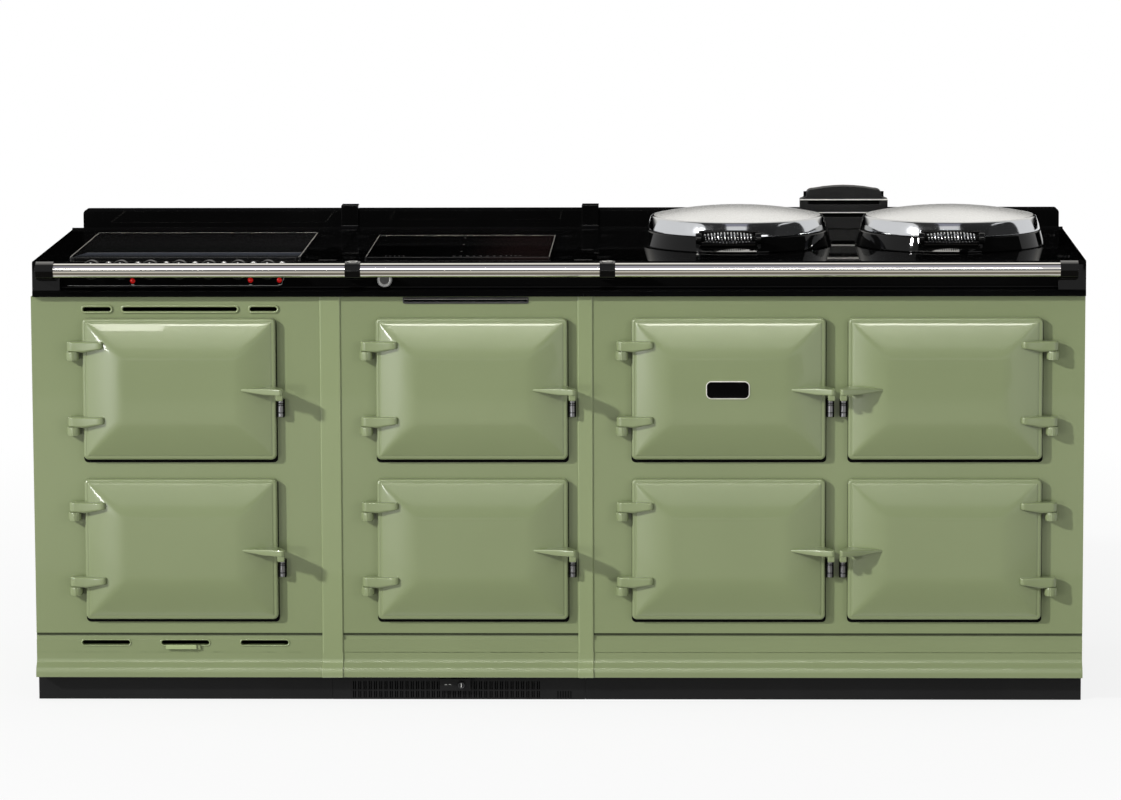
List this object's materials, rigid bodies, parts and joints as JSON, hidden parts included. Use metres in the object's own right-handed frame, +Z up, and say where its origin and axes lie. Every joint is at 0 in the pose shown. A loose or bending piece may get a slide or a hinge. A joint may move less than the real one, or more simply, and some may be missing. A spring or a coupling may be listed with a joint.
{
  "type": "cast iron range cooker",
  "caption": "Wide free-standing cast iron range cooker with enamelled oven doors, lidded hotplates, flat glass hobs, front rail, control knobs, rear vent cowl and recessed plinth",
  "frame": {"origin": "On the floor, under the middle of the cooker's overall box", "axes": "+X to the right seen from the front, +Y to the back (the doors face -Y), +Z up"},
  "size_m": [2.1, 0.763, 0.981],
  "materials": {
    "green_enamel": "glossy sage green vitreous enamel on cast iron and sheet steel",
    "black_enamel": "mirror-gloss black vitreous enamel",
    "plinth_paint": "satin charcoal paint",
    "cast_iron": "bare and blackened cast iron",
    "polished_steel": "bright nickel plate with sharp reflections",
    "brushed_steel": "satin stainless steel",
    "sheet_steel": "zinc-coated sheet steel",
    "dark_glass": "smooth black ceramic glass",
    "black_plastic": "glossy black moulded knobs"
  },
  "bodies": {
    "root": {"front_plate_left": "green_enamel", "front_plate_middle": "green_enamel", "front_plate_right": "green_enamel", "base_panel_left": "green_enamel", "base_panel_middle": "green_enamel", "base_panel_right": "green_enamel", "joint_strip_left": "green_enamel", "joint_strip_right": "green_enamel", "side_panel_left": "green_enamel", "side_panel_right": "green_enamel", "top_casting_left": "black_enamel", "top_casting_middle": "black_enamel", "top_casting_right": "black_enamel", "top_strip_left": "black_enamel", "top_strip_right": "black_enamel", "rail_bracket_1": "black_enamel", "rail_bracket_2": "black_enamel", "control_panel": "black_enamel", "vent_cowl": "black_enamel", "plinth_left": "plinth_paint", "plinth_middle": "plinth_paint", "plinth_right": "plinth_paint", "oven_liner_left_top": "cast_iron", "oven_liner_left_bottom": "cast_iron", "oven_liner_middle_top": "cast_iron", "oven_liner_middle_bottom": "cast_iron", "oven_liner_right_inner_top": "cast_iron", "oven_liner_right_inner_bottom": "cast_iron", "oven_liner_right_outer_top": "cast_iron", "oven_liner_right_outer_bottom": "cast_iron", "hotplate_left": "cast_iron", "hotplate_right": "cast_iron", "handrail_left": "polished_steel", "handrail_right": "polished_steel", "rear_carcass": "sheet_steel", "hob_left": "dark_glass", "hob_middle": "dark_glass"},
    "door_left_top": {"door_left_top": "green_enamel"},
    "door_left_bottom": {"door_left_bottom": "green_enamel"},
    "door_middle_top": {"door_middle_top": "green_enamel"},
    "door_middle_bottom": {"door_middle_bottom": "green_enamel"},
    "door_right_inner_top": {"door_right_inner_top": "green_enamel"},
    "door_right_inner_bottom": {"door_right_inner_bottom": "green_enamel"},
    "door_right_outer_top": {"door_right_outer_top": "green_enamel"},
    "door_right_outer_bottom": {"door_right_outer_bottom": "green_enamel"},
    "lid_left": {"lid_liner_left": "black_enamel", "lid_cover_left": "brushed_steel", "lid_handle_left": "polished_steel"},
    "lid_right": {"lid_liner_right": "black_enamel", "lid_cover_right": "brushed_steel", "lid_handle_right": "polished_steel"},
    "control_knob_1": {"control_knob_1": "black_plastic"},
    "control_knob_2": {"control_knob_2": "black_plastic"},
    "control_knob_3": {"control_knob_3": "black_plastic"},
    "control_knob_4": {"control_knob_4": "black_plastic"},
    "control_knob_5": {"control_knob_5": "black_plastic"},
    "control_knob_6": {"control_knob_6": "black_plastic"},
    "control_knob_7": {"control_knob_7": "black_plastic"},
    "start_button": {"start_button": "polished_steel"},
    "plinth_valve_knob": {"plinth_valve_knob": "brushed_steel"}
  },
  "joints": [
    {"name": "door_left_top_hinge", "type": "hinge", "parent": "root", "child": "door_left_top", "pos_m": [-0.966, -0.3195, 0.63575], "axis": [0, 0, -1], "range_deg": [0, 100]},
    {"name": "door_left_bottom_hinge", "type": "hinge", "parent": "root", "child": "door_left_bottom", "pos_m": [-0.966, -0.3195, 0.31225], "axis": [0, 0, -1], "range_deg": [0, 100]},
    {"name": "door_middle_top_hinge", "type": "hinge", "parent": "root", "child": "door_middle_top", "pos_m": [-0.3795, -0.3195, 0.63575], "axis": [0, 0, -1], "range_deg": [0, 100]},
    {"name": "door_middle_bottom_hinge", "type": "hinge", "parent": "root", "child": "door_middle_bottom", "pos_m": [-0.3795, -0.3195, 0.31225], "axis": [0, 0, -1], "range_deg": [0, 100]},
    {"name": "door_right_inner_top_hinge", "type": "hinge", "parent": "root", "child": "door_right_inner_top", "pos_m": [0.13, -0.3195, 0.63575], "axis": [0, 0, -1], "range_deg": [0, 100]},
    {"name": "door_right_inner_bottom_hinge", "type": "hinge", "parent": "root", "child": "door_right_inner_bottom", "pos_m": [0.13, -0.3195, 0.31225], "axis": [0, 0, -1], "range_deg": [0, 100]},
    {"name": "door_right_outer_top_hinge", "type": "hinge", "parent": "root", "child": "door_right_outer_top", "pos_m": [0.985, -0.3195, 0.63575], "axis": [0, 0, 1], "range_deg": [0, 100]},
    {"name": "door_right_outer_bottom_hinge", "type": "hinge", "parent": "root", "child": "door_right_outer_bottom", "pos_m": [0.985, -0.3195, 0.31225], "axis": [0, 0, 1], "range_deg": [0, 100]},
    {"name": "lid_left_hinge", "type": "hinge", "parent": "root", "child": "lid_left", "pos_m": [0.36135, 0.2375, 0.911], "axis": [-1, 0, 0], "range_deg": [0, 92]},
    {"name": "lid_right_hinge", "type": "hinge", "parent": "root", "child": "lid_right", "pos_m": [0.79575, 0.2375, 0.911], "axis": [-1, 0, 0], "range_deg": [0, 92]},
    {"name": "control_knob_1_turn", "type": "hinge", "parent": "root", "child": "control_knob_1", "pos_m": [-0.924, -0.3215, 0.877], "axis": [0, 1, 0], "range_deg": [0, 270]},
    {"name": "control_knob_2_turn", "type": "hinge", "parent": "root", "child": "control_knob_2", "pos_m": [-0.8655, -0.3215, 0.877], "axis": [0, 1, 0], "range_deg": [0, 270]},
    {"name": "control_knob_3_turn", "type": "hinge", "parent": "root", "child": "control_knob_3", "pos_m": [-0.807, -0.3215, 0.877], "axis": [0, 1, 0], "range_deg": [0, 270]},
    {"name": "control_knob_4_turn", "type": "hinge", "parent": "root", "child": "control_knob_4", "pos_m": [-0.7485, -0.3215, 0.877], "axis": [0, 1, 0], "range_deg": [0, 270]},
    {"name": "control_knob_5_turn", "type": "hinge", "parent": "root", "child": "control_knob_5", "pos_m": [-0.69, -0.3215, 0.877], "axis": [0, 1, 0], "range_deg": [0, 270]},
    {"name": "control_knob_6_turn", "type": "hinge", "parent": "root", "child": "control_knob_6", "pos_m": [-0.6315, -0.3215, 0.877], "axis": [0, 1, 0], "range_deg": [0, 270]},
    {"name": "control_knob_7_turn", "type": "hinge", "parent": "root", "child": "control_knob_7", "pos_m": [-0.573, -0.3215, 0.877], "axis": [0, 1, 0], "range_deg": [0, 270]},
    {"name": "start_button_press", "type": "slide", "parent": "root", "child": "start_button", "axis": [0, 1, 0], "range_m": [0, 0.003], "stiffness_N_per_m": 800},
    {"name": "plinth_valve_turn", "type": "hinge", "parent": "root", "child": "plinth_valve_knob", "pos_m": [-0.195, -0.2965, 0.0325], "axis": [0, 1, 0], "range_deg": [0, 180]}
  ]
}
